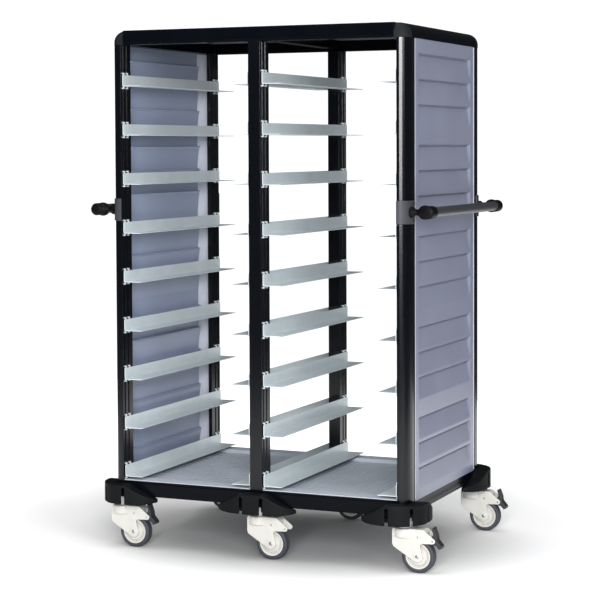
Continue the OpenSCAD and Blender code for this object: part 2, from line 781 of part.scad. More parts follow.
// Clamp around the outer edge of a corner post, arm and socket for the tube.
module handle_bracket() {
    clamp_d = post_d - 8;
    y0 = -half_d + 2;
    difference() {
        union() {
            translate([half_w + clamp_t, -half_d - clamp_t, handle_z - clamp_h / 2])
                linear_extrude(clamp_h)
                    round_corner(side_post_w + clamp_t, clamp_d, post_r + clamp_t);
            translate([0, 0, handle_z - socket_d / 2 + 1]) linear_extrude(socket_d - 2)
                polygon([[half_w, y0 + 6], [tube_x, y0], [tube_x, y0 + socket_len],
                         [half_w, y0 + socket_len - 2]]);
            translate([tube_x, y0 + 3, handle_z]) rotate([-90, 0, 0])
                cylinder(h = socket_len - 3, d = socket_d);
            translate([tube_x, y0, handle_z]) rotate([-90, 0, 0])
                cylinder(h = 3, d1 = socket_d - 6, d2 = socket_d);
        }
        translate([half_w, -half_d, handle_z - clamp_h / 2 - 1]) linear_extrude(clamp_h + 2)
            round_corner(side_post_w + 1, post_d, post_r);
        translate([tube_x, y0 + socket_end, handle_z]) rotate([-90, 0, 0])
            cylinder(h = socket_len + 1, d = tube_d);
    }
}

module handle_tube_left() color(zinc) mirror([1, 0, 0]) handle_tube();
module handle_tube_right() color(zinc) handle_tube();
module handle_brackets_left() color(black) for (end = [-1, 1]) at_corner(-1, end) handle_bracket();
module handle_brackets_right() color(black) for (end = [-1, 1]) at_corner(1, end) handle_bracket();

// ---- fixings ---------------------------------------------------------------

screw_d = 9;        // head of a fixing screw
screw_h = 2;        // height of that head

// Two domed screws hold each clamp to the side of its post.
module fixing_screws() color(zinc)
    for (side = [-1, 1], end = [-1, 1], up = [-1, 1]) at_corner(side, end)
        translate([half_w + clamp_t, -half_d + post_d - clamp_t - 18,
                   handle_z + up * (clamp_h / 2 - 8)])
            rotate([0, 90, 0]) cylinder(h = screw_h, d1 = screw_d, d2 = screw_d - 3);

// ---- nodes -----------------------------------------------------------------

post_front_left();
post_front_right();
post_rear_left();
post_rear_right();
post_front_centre();
post_rear_centre();
base_rail_front();
base_rail_rear();
base_rail_left();
base_rail_right();
base_cross_rail();
floor_tray_left();
floor_tray_right();
side_panel_left();
side_panel_right();
roof_rail_front();
roof_rail_rear();
roof_rail_left();
roof_rail_right();
roof_corner_caps();
roof_sheet();
roof_centre_beam();
ledges_left_outer();
ledges_left_inner();
ledges_right_inner();
ledges_right_outer();
bumper_front_left();
bumper_front_right();
bumper_rear_left();
bumper_rear_right();
bumper_front_centre();
bumper_rear_centre();
caster_stems();
fork_front_left();
fork_front_centre();
fork_front_right();
fork_rear_left();
fork_rear_centre();
fork_rear_right();
rim_front_left();
rim_front_centre();
rim_front_right();
rim_rear_left();
rim_rear_centre();
rim_rear_right();
tyre_front_left();
tyre_front_centre();
tyre_front_right();
tyre_rear_left();
tyre_rear_centre();
tyre_rear_right();
brake_pedal_front_left();
brake_pedal_front_right();
brake_pedal_rear_left();
brake_pedal_rear_right();
handle_tube_left();
handle_tube_right();
handle_brackets_left();
handle_brackets_right();
fixing_screws();
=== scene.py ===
import math
import bmesh
import bpy
from mathutils import Matrix, Vector


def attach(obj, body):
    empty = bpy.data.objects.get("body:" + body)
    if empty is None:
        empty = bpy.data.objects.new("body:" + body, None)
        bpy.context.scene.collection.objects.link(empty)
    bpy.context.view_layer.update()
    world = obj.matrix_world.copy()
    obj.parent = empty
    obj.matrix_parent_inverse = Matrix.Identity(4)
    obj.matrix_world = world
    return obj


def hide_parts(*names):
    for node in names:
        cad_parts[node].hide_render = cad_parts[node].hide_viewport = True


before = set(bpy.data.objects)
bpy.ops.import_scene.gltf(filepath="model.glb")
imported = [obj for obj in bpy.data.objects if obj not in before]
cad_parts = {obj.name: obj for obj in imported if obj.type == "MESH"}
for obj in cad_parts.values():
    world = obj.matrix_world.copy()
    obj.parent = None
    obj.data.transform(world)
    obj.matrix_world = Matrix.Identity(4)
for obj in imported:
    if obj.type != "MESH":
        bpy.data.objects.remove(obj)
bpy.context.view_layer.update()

# ---- Corner posts and centre posts -------------------------------------------
# Aluminium profiles, drawn through a die, cut to length and anodised black.
# Grooves in the faces that look into a bay take the hooks of the ledges; the
# outer edge of a corner post is a long soft curve, with a flat beside it.


def linear(code):
    """Linear colour of an sRGB value such as 14161c."""
    def one(v):
        return v / 12.92 if v <= 0.04045 else ((v + 0.055) / 1.055) ** 2.4
    return tuple(one(int(code[i:i + 2], 16) / 255) for i in (0, 2, 4)) + (1.0,)


def add(tree, kind, inputs=None, **settings):
    """Adds one node; an input is a value, or the socket that feeds it."""
    node = tree.nodes.new(kind)
    for key, value in settings.items():
        setattr(node, key, value)
    for key, value in (inputs or {}).items():
        if isinstance(value, bpy.types.NodeSocket):
            tree.links.new(value, node.inputs[key])
        else:
            node.inputs[key].default_value = value
    return node


def begin(name):
    """A new material with an empty tree and the object's own coordinates in metres."""
    made = bpy.data.materials.new(name)
    made.use_nodes = True
    made.node_tree.nodes.clear()
    return made, made.node_tree, add(made.node_tree, "ShaderNodeTexCoord").outputs["Object"]


def end(tree, inputs):
    """Closes a material with its shader."""
    shader = add(tree, "ShaderNodeBsdfPrincipled", inputs)
    add(tree, "ShaderNodeOutputMaterial", {"Surface": shader.outputs[0]})


def anodised(name, along, ior=1.35):
    """Black anodised aluminium: a hard, dark film that shows the fine lines of the
    die along the profile and lights up only where it turns to a lamp. The IOR is
    set by the look of the cart and lies below that of a real film."""
    made, tree, place = begin(name)
    # die lines 0.6 mm apart, 400 times as long as they are wide
    scale = [1700.0, 1700.0, 1700.0]
    scale["XYZ".index(along)] = 4.0
    lined = add(tree, "ShaderNodeMapping", {"Vector": place, "Scale": scale})
    lines = add(tree, "ShaderNodeTexNoise", {"Vector": lined.outputs[0], "Scale": 1.0, "Detail": 2.0})
    # the film varies a little over a hand's breadth
    cloud = add(tree, "ShaderNodeTexNoise", {"Vector": place, "Scale": 9.0, "Detail": 3.0})
    film = add(tree, "ShaderNodeMix", {0: cloud.outputs[0], 6: linear("040509"), 7: linear("080a10")},
               data_type="RGBA")
    rough = add(tree, "ShaderNodeMapRange", {"Value": lines.outputs[0], "To Min": 0.15, "To Max": 0.23})
    bump = add(tree, "ShaderNodeBump", {"Height": lines.outputs[0], "Strength": 0.12, "Distance": 0.0002})
    end(tree, {"Base Color": film.outputs[2], "Roughness": rough.outputs[0], "IOR": ior,
               "Normal": bump.outputs[0]})
    return made


upright_aluminium = anodised("black_anodised_upright", "Z")


def prism(outline, along, start, stop):
    """An outline in the two other axes, drawn out along one axis."""
    n = len(outline)
    spot = {"X": lambda a, b, t: (t, a, b), "Y": lambda a, b, t: (a, t, b),
            "Z": lambda a, b, t: (a, b, t)}[along]
    points = [spot(a, b, t) for t in (start, stop) for a, b in outline]
    faces = [tuple(range(n - 1, -1, -1)), tuple(range(n, 2 * n))]
    faces += [(i, (i + 1) % n, n + (i + 1) % n, n + i) for i in range(n)]
    return points, faces


def arc(cx, cy, rx, ry, a0, a1, steps):
    """Points of an elliptic arc between two angles in degrees."""
    turn = [math.radians(a0 + (a1 - a0) * k / steps) for k in range(steps + 1)]
    return [(cx + rx * math.cos(a), cy + ry * math.sin(a)) for a in turn]


def mirrored(shape, side, end_):
    """The same shape on another corner; it is drawn for the front right one."""
    return [(side * x, -end_ * y, z) for x, y, z in shape[0]], shape[1]


def skin(name, shapes):
    """One mesh from shapes in millimetres."""
    build = bmesh.new()
    for points, faces in shapes:
        corners = [build.verts.new([c / 1000 for c in p]) for p in points]
        for f in faces:
            build.faces.new([corners[i] for i in f])
        bmesh.ops.remove_doubles(build, verts=corners, dist=1e-6)
    bmesh.ops.recalc_face_normals(build, faces=build.faces)
    mesh = bpy.data.meshes.new(name)
    build.to_mesh(mesh)
    build.free()
    return mesh


def rounding(obj, edge, segments=2, angle=35):
    """Rounds the sharp edges of an object, in millimetres, and evens the shading."""
    obj.data.polygons.foreach_set("use_smooth", [True] * len(obj.data.polygons))
    if edge:
        soft = obj.modifiers.new("soft_edges", "BEVEL")
        soft.width, soft.segments = edge / 1000, segments
        soft.limit_method, soft.angle_limit = "ANGLE", math.radians(angle)
        soft.use_clamp_overlap = True
        even = obj.modifiers.new("even_shading", "WEIGHTED_NORMAL")
        even.keep_sharp = True
    else:
        obj.data.set_sharp_from_angle(angle=math.radians(angle))


def piece(name, shapes, material, body="cart", stands_for=(), edge=0.0, cuts=(), segments=2, angle=35):
    """One object of the cart, riding on its body and standing for its CAD nodes."""
    obj = bpy.data.objects.new(name, skin(name, shapes))
    bpy.context.scene.collection.objects.link(obj)
    if cuts:
        tool = bpy.data.objects.new(name + "_tool", skin(name + "_tool", cuts))
        bpy.context.scene.collection.objects.link(tool)
        cut = obj.modifiers.new("cut", "BOOLEAN")
        cut.object, cut.operation, cut.solver = tool, "DIFFERENCE", "EXACT"
        whole = obj.evaluated_get(bpy.context.evaluated_depsgraph_get())
        obj.data = bpy.data.meshes.new_from_object(whole)
        obj.modifiers.remove(cut)
        bpy.data.objects.remove(tool)
    obj.data.materials.clear()
    obj.data.materials.append(material)
    rounding(obj, edge, segments, angle)
    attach(obj, body)
    if stands_for:
        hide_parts(*stands_for)
    return obj


corner_outline = ([(451, -345), (459.5, -345)] + arc(465, -303, 20, 40, -82.4, 0, 18)
                  + [(485, -288), (483.6, -287), (483.6, -284.5), (485, -283.5), (485, -281), (451, -281),
                     (451, -305), (454, -305), (454, -313), (451, -313),
                     (451, -328), (454, -328), (454, -336), (451, -336)])
half_outline = [(20, -345), (20, -336), (17, -336), (17, -328), (20, -328), (20, -313), (17, -313),
                (17, -305), (20, -305), (20, -281)]
centre_outline = half_outline + [(-x, y) for x, y in reversed(half_outline)]
ENDS = {"front": -1, "rear": 1}
SIDES = {"left": -1, "centre": 0, "right": 1}
for end_name, end_sign in ENDS.items():
    for side_name, side in SIDES.items():
        if side:
            shape = mirrored(prism(corner_outline, "Z", 163, 1556), side, end_sign)
        else:
            shape = mirrored(prism(centre_outline, "Z", 210, 1556), 1, end_sign)
        node = f"post_{end_name}_{side_name}"
        piece("profile_" + node, [shape], upright_aluminium, stands_for=[node], edge=0.5 if side else 1.2,
              angle=12 if side else 35)

# ---- Base frame --------------------------------------------------------------
# Black rails of anodised aluminium, screwed to the posts from inside. Their film
# is duller than that of the posts. The side panels stand on a step of the side rails.

cross_aluminium = anodised("black_anodised_across", "X", 1.15)
deep_aluminium = anodised("black_anodised_deep", "Y", 1.15)
for end_name, end_sign in ENDS.items():
    rail = [(-345, 165), (-343, 163), (-295, 163), (-295, 210), (-345, 210), (-345, 206.5), (-343.8, 205.5),
            (-343.8, 203), (-345, 202)]
    piece("profile_base_" + end_name, [mirrored(prism(rail, "X", -451, 451), 1, end_sign)], cross_aluminium,
          stands_for=["base_rail_" + end_name], edge=0.6)
for side_name in ("left", "right"):
    rail = [(455, 165), (483, 165), (485, 167), (485, 179), (482, 184), (481.5, 198), (480, 200), (480, 210),
            (455, 210)]
    piece("profile_base_" + side_name, [mirrored(prism(rail, "Y", -281, 281), SIDES[side_name], -1)],
          deep_aluminium, stands_for=["base_rail_" + side_name], edge=0.6)


def dress(node, material, edge, segments=2, angle=35):
    """A CAD node that keeps its mesh: its material, and rounded edges as modifiers."""
    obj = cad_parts[node]
    obj.data.materials.clear()
    obj.data.materials.append(material)
    joined = obj.modifiers.new("joined", "WELD")
    joined.merge_threshold = 1e-5
    soft = obj.modifiers.new("soft_edges", "BEVEL")
    soft.width, soft.segments = edge / 1000, segments
    soft.limit_method, soft.angle_limit = "ANGLE", math.radians(angle)
    even = obj.modifiers.new("even_shading", "WEIGHTED_NORMAL")
    even.keep_sharp = True


dress("base_cross_rail", deep_aluminium, 1.0)

# ---- Floor trays -------------------------------------------------------------
# One tray per bay, vacuum-formed from grey polypropylene sheet, with ribs along
# its sunk floor. Its rim lies on the base rails.

floor_plastic, tree, place = begin("polypropylene_floor")
# Polypropylene: waxy, soft sheen; a formed sheet shows a fine grain of 1.5 mm
grain = add(tree, "ShaderNodeTexNoise", {"Vector": place, "Scale": 650.0, "Detail": 2.0})
cloud = add(tree, "ShaderNodeTexNoise", {"Vector": place, "Scale": 12.0, "Detail": 3.0})
tone = add(tree, "ShaderNodeMix", {0: cloud.outputs[0], 6: linear("a3a9b3"), 7: linear("b6bcc5")},
           data_type="RGBA")
rough = add(tree, "ShaderNodeMapRange", {"Value": grain.outputs[0], "To Min": 0.34, "To Max": 0.5})
bump = add(tree, "ShaderNodeBump", {"Height": grain.outputs[0], "Strength": 0.15, "Distance": 0.0003})
end(tree, {"Base Color": tone.outputs[2], "Roughness": rough.outputs[0], "IOR": 1.49,
           "Normal": bump.outputs[0]})
for node in ("floor_tray_left", "floor_tray_right"):
    dress(node, floor_plastic, 0.7)

# ---- Side panels -------------------------------------------------------------
# Satin grey ABS sheet, vacuum-formed with fifteen pads in five groups. A narrow
# groove runs under the sharp upper edge of each pad, and the pad slopes out again
# to its foot. Pale lips close the sheet against the posts.

panel_plastic, tree, place = begin("abs_panel")
# ABS: even satin; the sheet has a fine leather-like grain, drawn 2 mm wide so that it shows
grain = add(tree, "ShaderNodeTexVoronoi", {"Vector": place, "Scale": 520.0})
cloud = add(tree, "ShaderNodeTexNoise", {"Vector": place, "Scale": 5.0, "Detail": 4.0})
tone = add(tree, "ShaderNodeMix", {0: cloud.outputs[0], 6: linear("6a6e80"), 7: linear("7a7e90")},
           data_type="RGBA")
rough = add(tree, "ShaderNodeMapRange", {"Value": cloud.outputs[0], "To Min": 0.28, "To Max": 0.38})
bump = add(tree, "ShaderNodeBump", {"Height": grain.outputs["Distance"], "Strength": 0.06,
                                    "Distance": 0.0003})
end(tree, {"Base Color": tone.outputs[2], "Roughness": rough.outputs[0], "IOR": 1.53,
           "Normal": bump.outputs[0]})
PANEL_FACE, PANEL_END, SHEET = 484, 281, 4
PAD_HEIGHT, PAD_DEPTH, PAD_END = 66, 8.5, 247
FRONT_WALL, REAR_WALL, STEP, GROOVE = 9, 14, 2.5, 3.5
BEAD = 9
FIRST_TOP, GROUP_PITCH, PAD_PITCH = 1514, 268, 74.5
PAD_TOPS = [FIRST_TOP - GROUP_PITCH * g - PAD_PITCH * p for g in range(5) for p in range(3)]


def ease(t):
    """Smooth step from 0 to 1."""
    t = min(max(t, 0.0), 1.0)
    return t * t * (3 - 2 * t)


def pad_sink(y, z):
    """Depth of the panel's outer face below its flat margin."""
    across = ease((PAD_END - y) / REAR_WALL) * ease((PAD_END + y) / FRONT_WALL)
    for top in PAD_TOPS:
        low = z - top + PAD_HEIGHT
        if 0 < low < PAD_HEIGHT:
            groove = GROOVE * (1 - ease((top - z - 4) / 5))
            return across * ease((top - z) / STEP) * (min(PAD_DEPTH, 8.8 * low / 58) + groove)
    return 0.0


def margin_roll(y):
    """The margin rolls in beside a post, as a soft bead."""
    near = PANEL_END - abs(y)
    if near >= BEAD:
        return 0.0
    return 3.5 * (1 - math.sqrt(max(0.0, 1 - ((BEAD - near) / BEAD) ** 2)))


rows = {200.0, 1556.0, 1552.0, 204.0}
for top in PAD_TOPS:
    rows |= {top - d for d in (-2, 0, 0.8, 1.6, 2.5, 4, 5.2, 6.5, 7.8, 9, 12, 20, 34, 46, 56, 61, 66, 68)}
rows = sorted(rows)
half_columns = (281, 280, 278.5, 276.5, 274, 271.5, 265, 255, 248.5, 247, 245, 243, 241, 239, 237, 235,
                233, 231, 190, 130, 65)
columns = sorted({s * y for s in (-1, 1) for y in half_columns} | {0})
points, faces = [], []
for back in (0, SHEET):
    points += [(PANEL_FACE - back - pad_sink(y, z) - margin_roll(y) * (1 - back / SHEET), y, z)
               for z in rows for y in columns]
wide, layer = len(columns), len(rows) * len(columns)
for base in (0, layer):
    faces += [(base + r * wide + c, base + r * wide + c + 1, base + (r + 1) * wide + c + 1,
               base + (r + 1) * wide + c) for r in range(len(rows) - 1) for c in range(wide - 1)]
ring = ([c for c in range(wide)] + [r * wide + wide - 1 for r in range(1, len(rows))]
        + [layer - 1 - c for c in range(1, wide)] + [r * wide for r in range(len(rows) - 2, 0, -1)])
faces += [(a, b, b + layer, a + layer) for a, b in zip(ring, ring[1:] + ring[:1])]

pale_lip_and_painted_light, tree, place = begin("pale_pvc_lip_and_painted_light")
# Soft PVC: pale lilac grey, satin, a little uneven along its length, as extruded. On the rolled edges inside
# the bay this pale tone is a painted highlight, for the band of light that falls there
wave = add(tree, "ShaderNodeTexNoise", {"Vector": place, "Scale": 30.0, "Detail": 3.0})
tone = add(tree, "ShaderNodeMix", {0: wave.outputs[0], 6: linear("a6a9b6"), 7: linear("bdbfca")},
           data_type="RGBA")
end(tree, {"Base Color": tone.outputs[2], "Roughness": 0.4, "IOR": 1.52})

inner_skin_painted_paler, tree, place = begin("abs_panel_inner_skin_painted_paler")
# The same ABS sheet from inside: a smoother skin, bluer, and painted paler than the outside, which stands in
# for the light that falls into the bay
cloud = add(tree, "ShaderNodeTexNoise", {"Vector": place, "Scale": 5.0, "Detail": 4.0})
tone = add(tree, "ShaderNodeMix", {0: cloud.outputs[0], 6: linear("7b859b"), 7: linear("8992a8")},
           data_type="RGBA")
end(tree, {"Base Color": tone.outputs[2], "Roughness": 0.42, "IOR": 1.53})

layer_faces = (len(rows) - 1) * (wide - 1)
cove = [(480, 240), (480, 280.5), (463, 280.5), (464.5, 274), (467.5, 266), (471.5, 257.5), (475.5, 249)]
for side_name in ("left", "right"):
    sheet = piece("formed_panel_" + side_name, [mirrored((points, faces), SIDES[side_name], -1)],
                  panel_plastic, stands_for=["side_panel_" + side_name], angle=50)
    # the inside faces take the skin painted paler, as painted light inside the bay
    sheet.data.materials.append(inner_skin_painted_paler)
    for face in list(sheet.data.polygons)[layer_faces:2 * layer_faces]:
        face.material_index = 1
    # inside, an edge is rolled in against the posts; its pale tone is a painted highlight, a band of light on
    # the panel beside the posts
    piece("rolled_edges_" + side_name, [mirrored(prism(cove, "Z", 212, 1554), SIDES[side_name], end_sign)
                                        for end_sign in (-1, 1)], pale_lip_and_painted_light, angle=50)

lip = [(480, 280.8), (484.2, 280.8), (485, 279.5), (485, 276), (484.2, 274.2), (480, 274.2)]
for side_name in ("left", "right"):
    piece("sealing_lips_" + side_name, [mirrored(prism(lip, "Z", 204, 1554), SIDES[side_name], end_sign)
                                        for end_sign in (-1, 1)], pale_lip_and_painted_light)

# ---- Ledges ------------------------------------------------------------------
# Nine levels in each of four columns, folded from 2 mm zinc-plated sheet. Hooks
# at both ends of the web grip the grooves in the posts.

ledge_metal, tree, place = begin("zinc_plated_sheet")
# Zinc plate: pale, slightly blue and satin, with rolling lines along the sheet, about 1 mm apart. It
# mirrors little, so it is mixed mostly from its own colour
lined = add(tree, "ShaderNodeMapping", {"Vector": place, "Scale": (1000.0, 5.0, 1000.0)})
lines = add(tree, "ShaderNodeTexNoise", {"Vector": lined.outputs[0], "Scale": 1.0, "Detail": 3.0})
cloud = add(tree, "ShaderNodeTexNoise", {"Vector": place, "Scale": 14.0, "Detail": 3.0})
tone = add(tree, "ShaderNodeMix", {0: cloud.outputs[0], 6: linear("c3cdd1"), 7: linear("d8e0e3")},
           data_type="RGBA")
rough = add(tree, "ShaderNodeMapRange", {"Value": lines.outputs[0], "To Min": 0.32, "To Max": 0.5})
bump = add(tree, "ShaderNodeBump", {"Height": lines.outputs[0], "Strength": 0.1, "Distance": 0.0002})
end(tree, {"Base Color": tone.outputs[2], "Roughness": rough.outputs[0], "Metallic": 0.3,
           "Normal": bump.outputs[0]})
TABS = (-335, -312, 306, 329)
FIRST_LEDGE, LEDGE_PITCH = 223, 151
web = [(-340, 1.5)]
web += [p for y in TABS for p in ((y, 1.5), (y, -9.5), (y + 6, -9.5), (y + 6, 1.5))] + [(340, 1.5)]
web += ([(340, 33)] + [p for y in reversed(TABS) for p in ((y + 6, 33), (y + 6, 40), (y, 40), (y, 33))]
        + [(-340, 33)])
fold = ([(60, -1.2), (59.2, -2)] + arc(3, 1, 3, 3, 270, 180, 5) + [(0, 1.6), (2, 1.6)]
        + arc(4, 2, 2, 2, 180, 270, 4) + [(59.2, 0), (60, -0.8)])
prongs = [[(-6, high), (0.5, high), (0.5, high - 4), (-6, high - 4)] for high in (40, -5.5)]
LEDGE_FACES = {"left_outer": (-448, 1), "left_inner": (-23, -1),
               "right_inner": (23, 1), "right_outer": (448, -1)}
for column, (face, into) in LEDGE_FACES.items():
    shapes = []
    for level in range(9):
        z = FIRST_LEDGE + LEDGE_PITCH * level
        shapes.append(prism([(y, z + h) for y, h in web], "X", face, face + 2 * into))
        shapes.append(prism([(face + into * x, z + h) for x, h in fold], "Y", -340, 340))
        for y in TABS:
            shapes += [prism([(face + into * x, z + h) for x, h in prong], "Y", y, y + 6) for prong in prongs]
    piece("folded_ledges_" + column, shapes, ledge_metal, stands_for=["ledges_" + column], edge=0.35)

# ---- Roof --------------------------------------------------------------------
# A frame of black anodised rails with moulded corner caps; the sheet lies in a
# rebate of the rails and is stiffened by a beam from front to rear.

for end_name, end_sign in ENDS.items():
    rail = ([(-345, 1562), (-343.6, 1561), (-343.6, 1559.6), (-345, 1558.6), (-345, 1556), (-305, 1556),
             (-305, 1590), (-313, 1590), (-313, 1600)] + arc(-341, 1596, 4, 4, 90, 180, 5))
    piece("profile_roof_" + end_name, [mirrored(prism(rail, "X", -443, 443), 1, end_sign)], cross_aluminium,
          stands_for=["roof_rail_" + end_name], edge=0.5)
for side_name in ("left", "right"):
    rail = ([(453, 1600), (453, 1590), (445, 1590), (445, 1556), (485, 1556)]
            + arc(449, 1564, 36, 36, 0, 90, 14))
    piece("profile_roof_" + side_name, [mirrored(prism(rail, "Y", -303, 303), SIDES[side_name], -1)],
          deep_aluminium, stands_for=["roof_rail_" + side_name], edge=0.5)
dress("roof_centre_beam", deep_aluminium, 1.0)

cap_plastic, tree, place = begin("textured_polyamide_cap")
# Glass-filled polyamide: matt dark grey with an eroded mould texture of about 0.8 mm, drawn 1.6 mm
grain = add(tree, "ShaderNodeTexNoise", {"Vector": place, "Scale": 600.0, "Detail": 3.0})
tone = add(tree, "ShaderNodeMix", {0: grain.outputs[0], 6: linear("0e1113"), 7: linear("191d1f")},
           data_type="RGBA")
bump = add(tree, "ShaderNodeBump", {"Height": grain.outputs[0], "Strength": 0.5, "Distance": 0.0005})
end(tree, {"Base Color": tone.outputs[2], "Roughness": 0.68, "IOR": 1.35, "Specular IOR Level": 0.3,
           "Normal": bump.outputs[0]})


def block(low, high, steps):
    """The six faces of a box as grids, so that its points can be pushed into a shape."""
    points, faces = [], []
    for axis in range(3):
        for value in (low[axis], high[axis]):
            first = len(points)
            a, b = [k for k in range(3) if k != axis]
            for i in range(steps + 1):
                for j in range(steps + 1):
                    p = [0.0] * 3
                    p[axis] = value
                    p[a] = low[a] + (high[a] - low[a]) * i / steps
                    p[b] = low[b] + (high[b] - low[b]) * j / steps
                    points.append(tuple(p))
            faces += [(first + i * (steps + 1) + j, first + (i + 1) * (steps + 1) + j,
                       first + (i + 1) * (steps + 1) + j + 1, first + i * (steps + 1) + j + 1)
                      for i in range(steps) for j in range(steps)]
    return points, faces


def cap_point(x, y, z):
    """Pushes a point of the block onto the round outer corner."""
    reach = (36, 30, 36)
    heart = (449, -315, 1564)
    out = [max(0.0, (x - heart[0]) / reach[0]), max(0.0, (heart[1] - y) / reach[1]),
           max(0.0, (z - heart[2]) / reach[2])]
    length = math.sqrt(sum(v * v for v in out))
    if length == 0:
        return x, y, z
    out = [v * max(out) / length for v in out]
    return (heart[0] + reach[0] * out[0] if x > heart[0] else x,
            heart[1] - reach[1] * out[1] if y < heart[1] else y,
            heart[2] + reach[2] * out[2] if z > heart[2] else z)


points, faces = block((443, -345, 1556), (485, -303, 1599.8), 16)
cap = [cap_point(*p) for p in points], faces
seat = prism([(442, -313), (453, -313), (453, -302), (442, -302)], "Z", 1590, 1601)
for side in (-1, 1):
    for end_sign in (-1, 1):
        name = f"moulded_cap_{'left' if side < 0 else 'right'}_{'front' if end_sign < 0 else 'rear'}"
        piece(name, [mirrored(cap, side, end_sign)], cap_plastic, stands_for=["roof_corner_caps"],
              cuts=[mirrored(seat, side, end_sign)], edge=0.6, angle=50)

roof_plastic, tree, place = begin("laminate_roof_sheet")
# Dark grey laminate: flat and dull, with a fine pebble grain of about 2 mm
grain = add(tree, "ShaderNodeTexVoronoi", {"Vector": place, "Scale": 480.0})
tone = add(tree, "ShaderNodeMix", {0: grain.outputs["Distance"], 6: linear("34373f"), 7: linear("3d4049")},
           data_type="RGBA")
bump = add(tree, "ShaderNodeBump", {"Height": grain.outputs["Distance"], "Strength": 0.15,
                                    "Distance": 0.0003})
end(tree, {"Base Color": tone.outputs[2], "Roughness": 0.6, "IOR": 1.5, "Normal": bump.outputs[0]})
dress("roof_sheet", roof_plastic, 0.5)

# ---- Push handles ------------------------------------------------------------
# A round satin tube along each side, held in the sockets of two moulded
# brackets. Each bracket clamps around the outer edge of a corner post, and a
# round knuckle joins the clamp to the socket.

tube_metal, tree, place = begin("satin_stainless_tube")
# Stainless steel: grey, with turned lines around the tube, about 0.5 mm apart, and a soft line of light.
# Part of it is its own colour, which keeps the tube grey where it would mirror nothing
lined = add(tree, "ShaderNodeMapping", {"Vector": place, "Scale": (6.0, 1800.0, 6.0)})
lines = add(tree, "ShaderNodeTexNoise", {"Vector": lined.outputs[0], "Scale": 1.0, "Detail": 2.0})
tone = add(tree, "ShaderNodeMix", {0: lines.outputs[0], 6: linear("4a4c50"), 7: linear("5a5c60")},
           data_type="RGBA")
rough = add(tree, "ShaderNodeMapRange", {"Value": lines.outputs[0], "To Min": 0.34, "To Max": 0.46})
bump = add(tree, "ShaderNodeBump", {"Height": lines.outputs[0], "Strength": 0.08, "Distance": 0.0002})
end(tree, {"Base Color": tone.outputs[2], "Roughness": rough.outputs[0], "Metallic": 0.65,
           "Normal": bump.outputs[0]})

bracket_plastic, tree, place = begin("moulded_polyamide_bracket")
# Polyamide: dark grey, mottled by a fine mould texture, drawn 1.5 mm, with a soft sheen
grain = add(tree, "ShaderNodeTexNoise", {"Vector": place, "Scale": 660.0, "Detail": 3.0})
tone = add(tree, "ShaderNodeMix", {0: grain.outputs[0], 6: linear("121215"), 7: linear("4a4a52")},
           data_type="RGBA")
bump = add(tree, "ShaderNodeBump", {"Height": grain.outputs[0], "Strength": 0.3, "Distance": 0.0004})
end(tree, {"Base Color": tone.outputs[2], "Roughness": 0.45, "IOR": 1.53, "Specular IOR Level": 0.25,
           "Normal": bump.outputs[0]})

knuckle_plastic, tree, place = begin("polished_polyamide_knuckle")
# Polyamide again, black through and smoother where hands turn it
grain = add(tree, "ShaderNodeTexNoise", {"Vector": place, "Scale": 500.0, "Detail": 3.0})
tone = add(tree, "ShaderNodeMix", {0: grain.outputs[0], 6: linear("060608"), 7: linear("0f0f12")},
           data_type="RGBA")
bump = add(tree, "ShaderNodeBump", {"Height": grain.outputs[0], "Strength": 0.15, "Distance": 0.0003})
end(tree, {"Base Color": tone.outputs[2], "Roughness": 0.45, "IOR": 1.35, "Specular IOR Level": 0.15,
           "Normal": bump.outputs[0]})


def turned(profile, centre, along, steps=48):
    """A profile of (radius, place along the axis), turned around that axis."""
    n, points = len(profile), []
    for k in range(steps):
        a = 2 * math.pi * k / steps
        for r, t in profile:
            u, v = r * math.cos(a), r * math.sin(a)
            off = {"X": (t, u, v), "Y": (u, t, v), "Z": (u, v, t)}[along]
            points.append(tuple(c + o for c, o in zip(centre, off)))
    faces = [(k * n + i, k * n + (i + 1) % n, (k + 1) % steps * n + (i + 1) % n, (k + 1) % steps * n + i)
             for k in range(steps) for i in range(n)]
    return points, faces


clamp = ([(451, -350), (457, -350)] + arc(457, -303, 33, 47, -84, 0, 12) + [(490, -294), (485, -294)]
         + arc(457, -303, 28, 42, 0, -84, 12) + [(457, -345), (451, -345)])
HANDLE_X, HANDLE_Z = 544, 1050
knuckle = [(0, 486), (16, 486), (16, 494), (14.5, 497), (9.5, 501), (9, 508), (12, 513), (18, 518),
           (20.5, 525), (21, 532), (19.5, 540), (15, 546), (0, 548)]
socket = [(0, -343), (13, -343), (17.5, -341), (19, -338), (19, -301), (17.5, -298.5), (15.2, -298),
          (15.2, -304), (0, -304)]
tube = [(15, -339), (15, 339), (13, 339), (13, -339)]
plate = [(489, -330), (491, -329), (491, -300), (489, -299)]
for side_name in ("left", "right"):
    side = SIDES[side_name]
    piece("tube_" + side_name, [turned(tube, (side * HANDLE_X, 0, HANDLE_Z), "Y")], tube_metal,
          stands_for=["handle_tube_" + side_name], angle=50)
    clamps, knuckles = [], []
    for end_sign in (-1, 1):
        parts = [prism(clamp, "Z", HANDLE_Z - 34, HANDLE_Z + 34),
                 prism(plate, "Z", HANDLE_Z - 2, HANDLE_Z + 2)]
        clamps += [mirrored(part, side, end_sign) for part in parts]
        parts = [turned(socket, (HANDLE_X, 0, HANDLE_Z), "Y"),
                 turned(knuckle, (0, -320, HANDLE_Z), "X", 40)]
        knuckles += [mirrored(part, side, end_sign) for part in parts]
    piece("clamps_" + side_name, clamps, bracket_plastic, stands_for=["handle_brackets_" + side_name],
          edge=2.0, segments=3)
    piece("knuckles_" + side_name, knuckles, knuckle_plastic, edge=0.8, angle=50)

screw_metal, tree, place = begin("blackened_steel_screw")
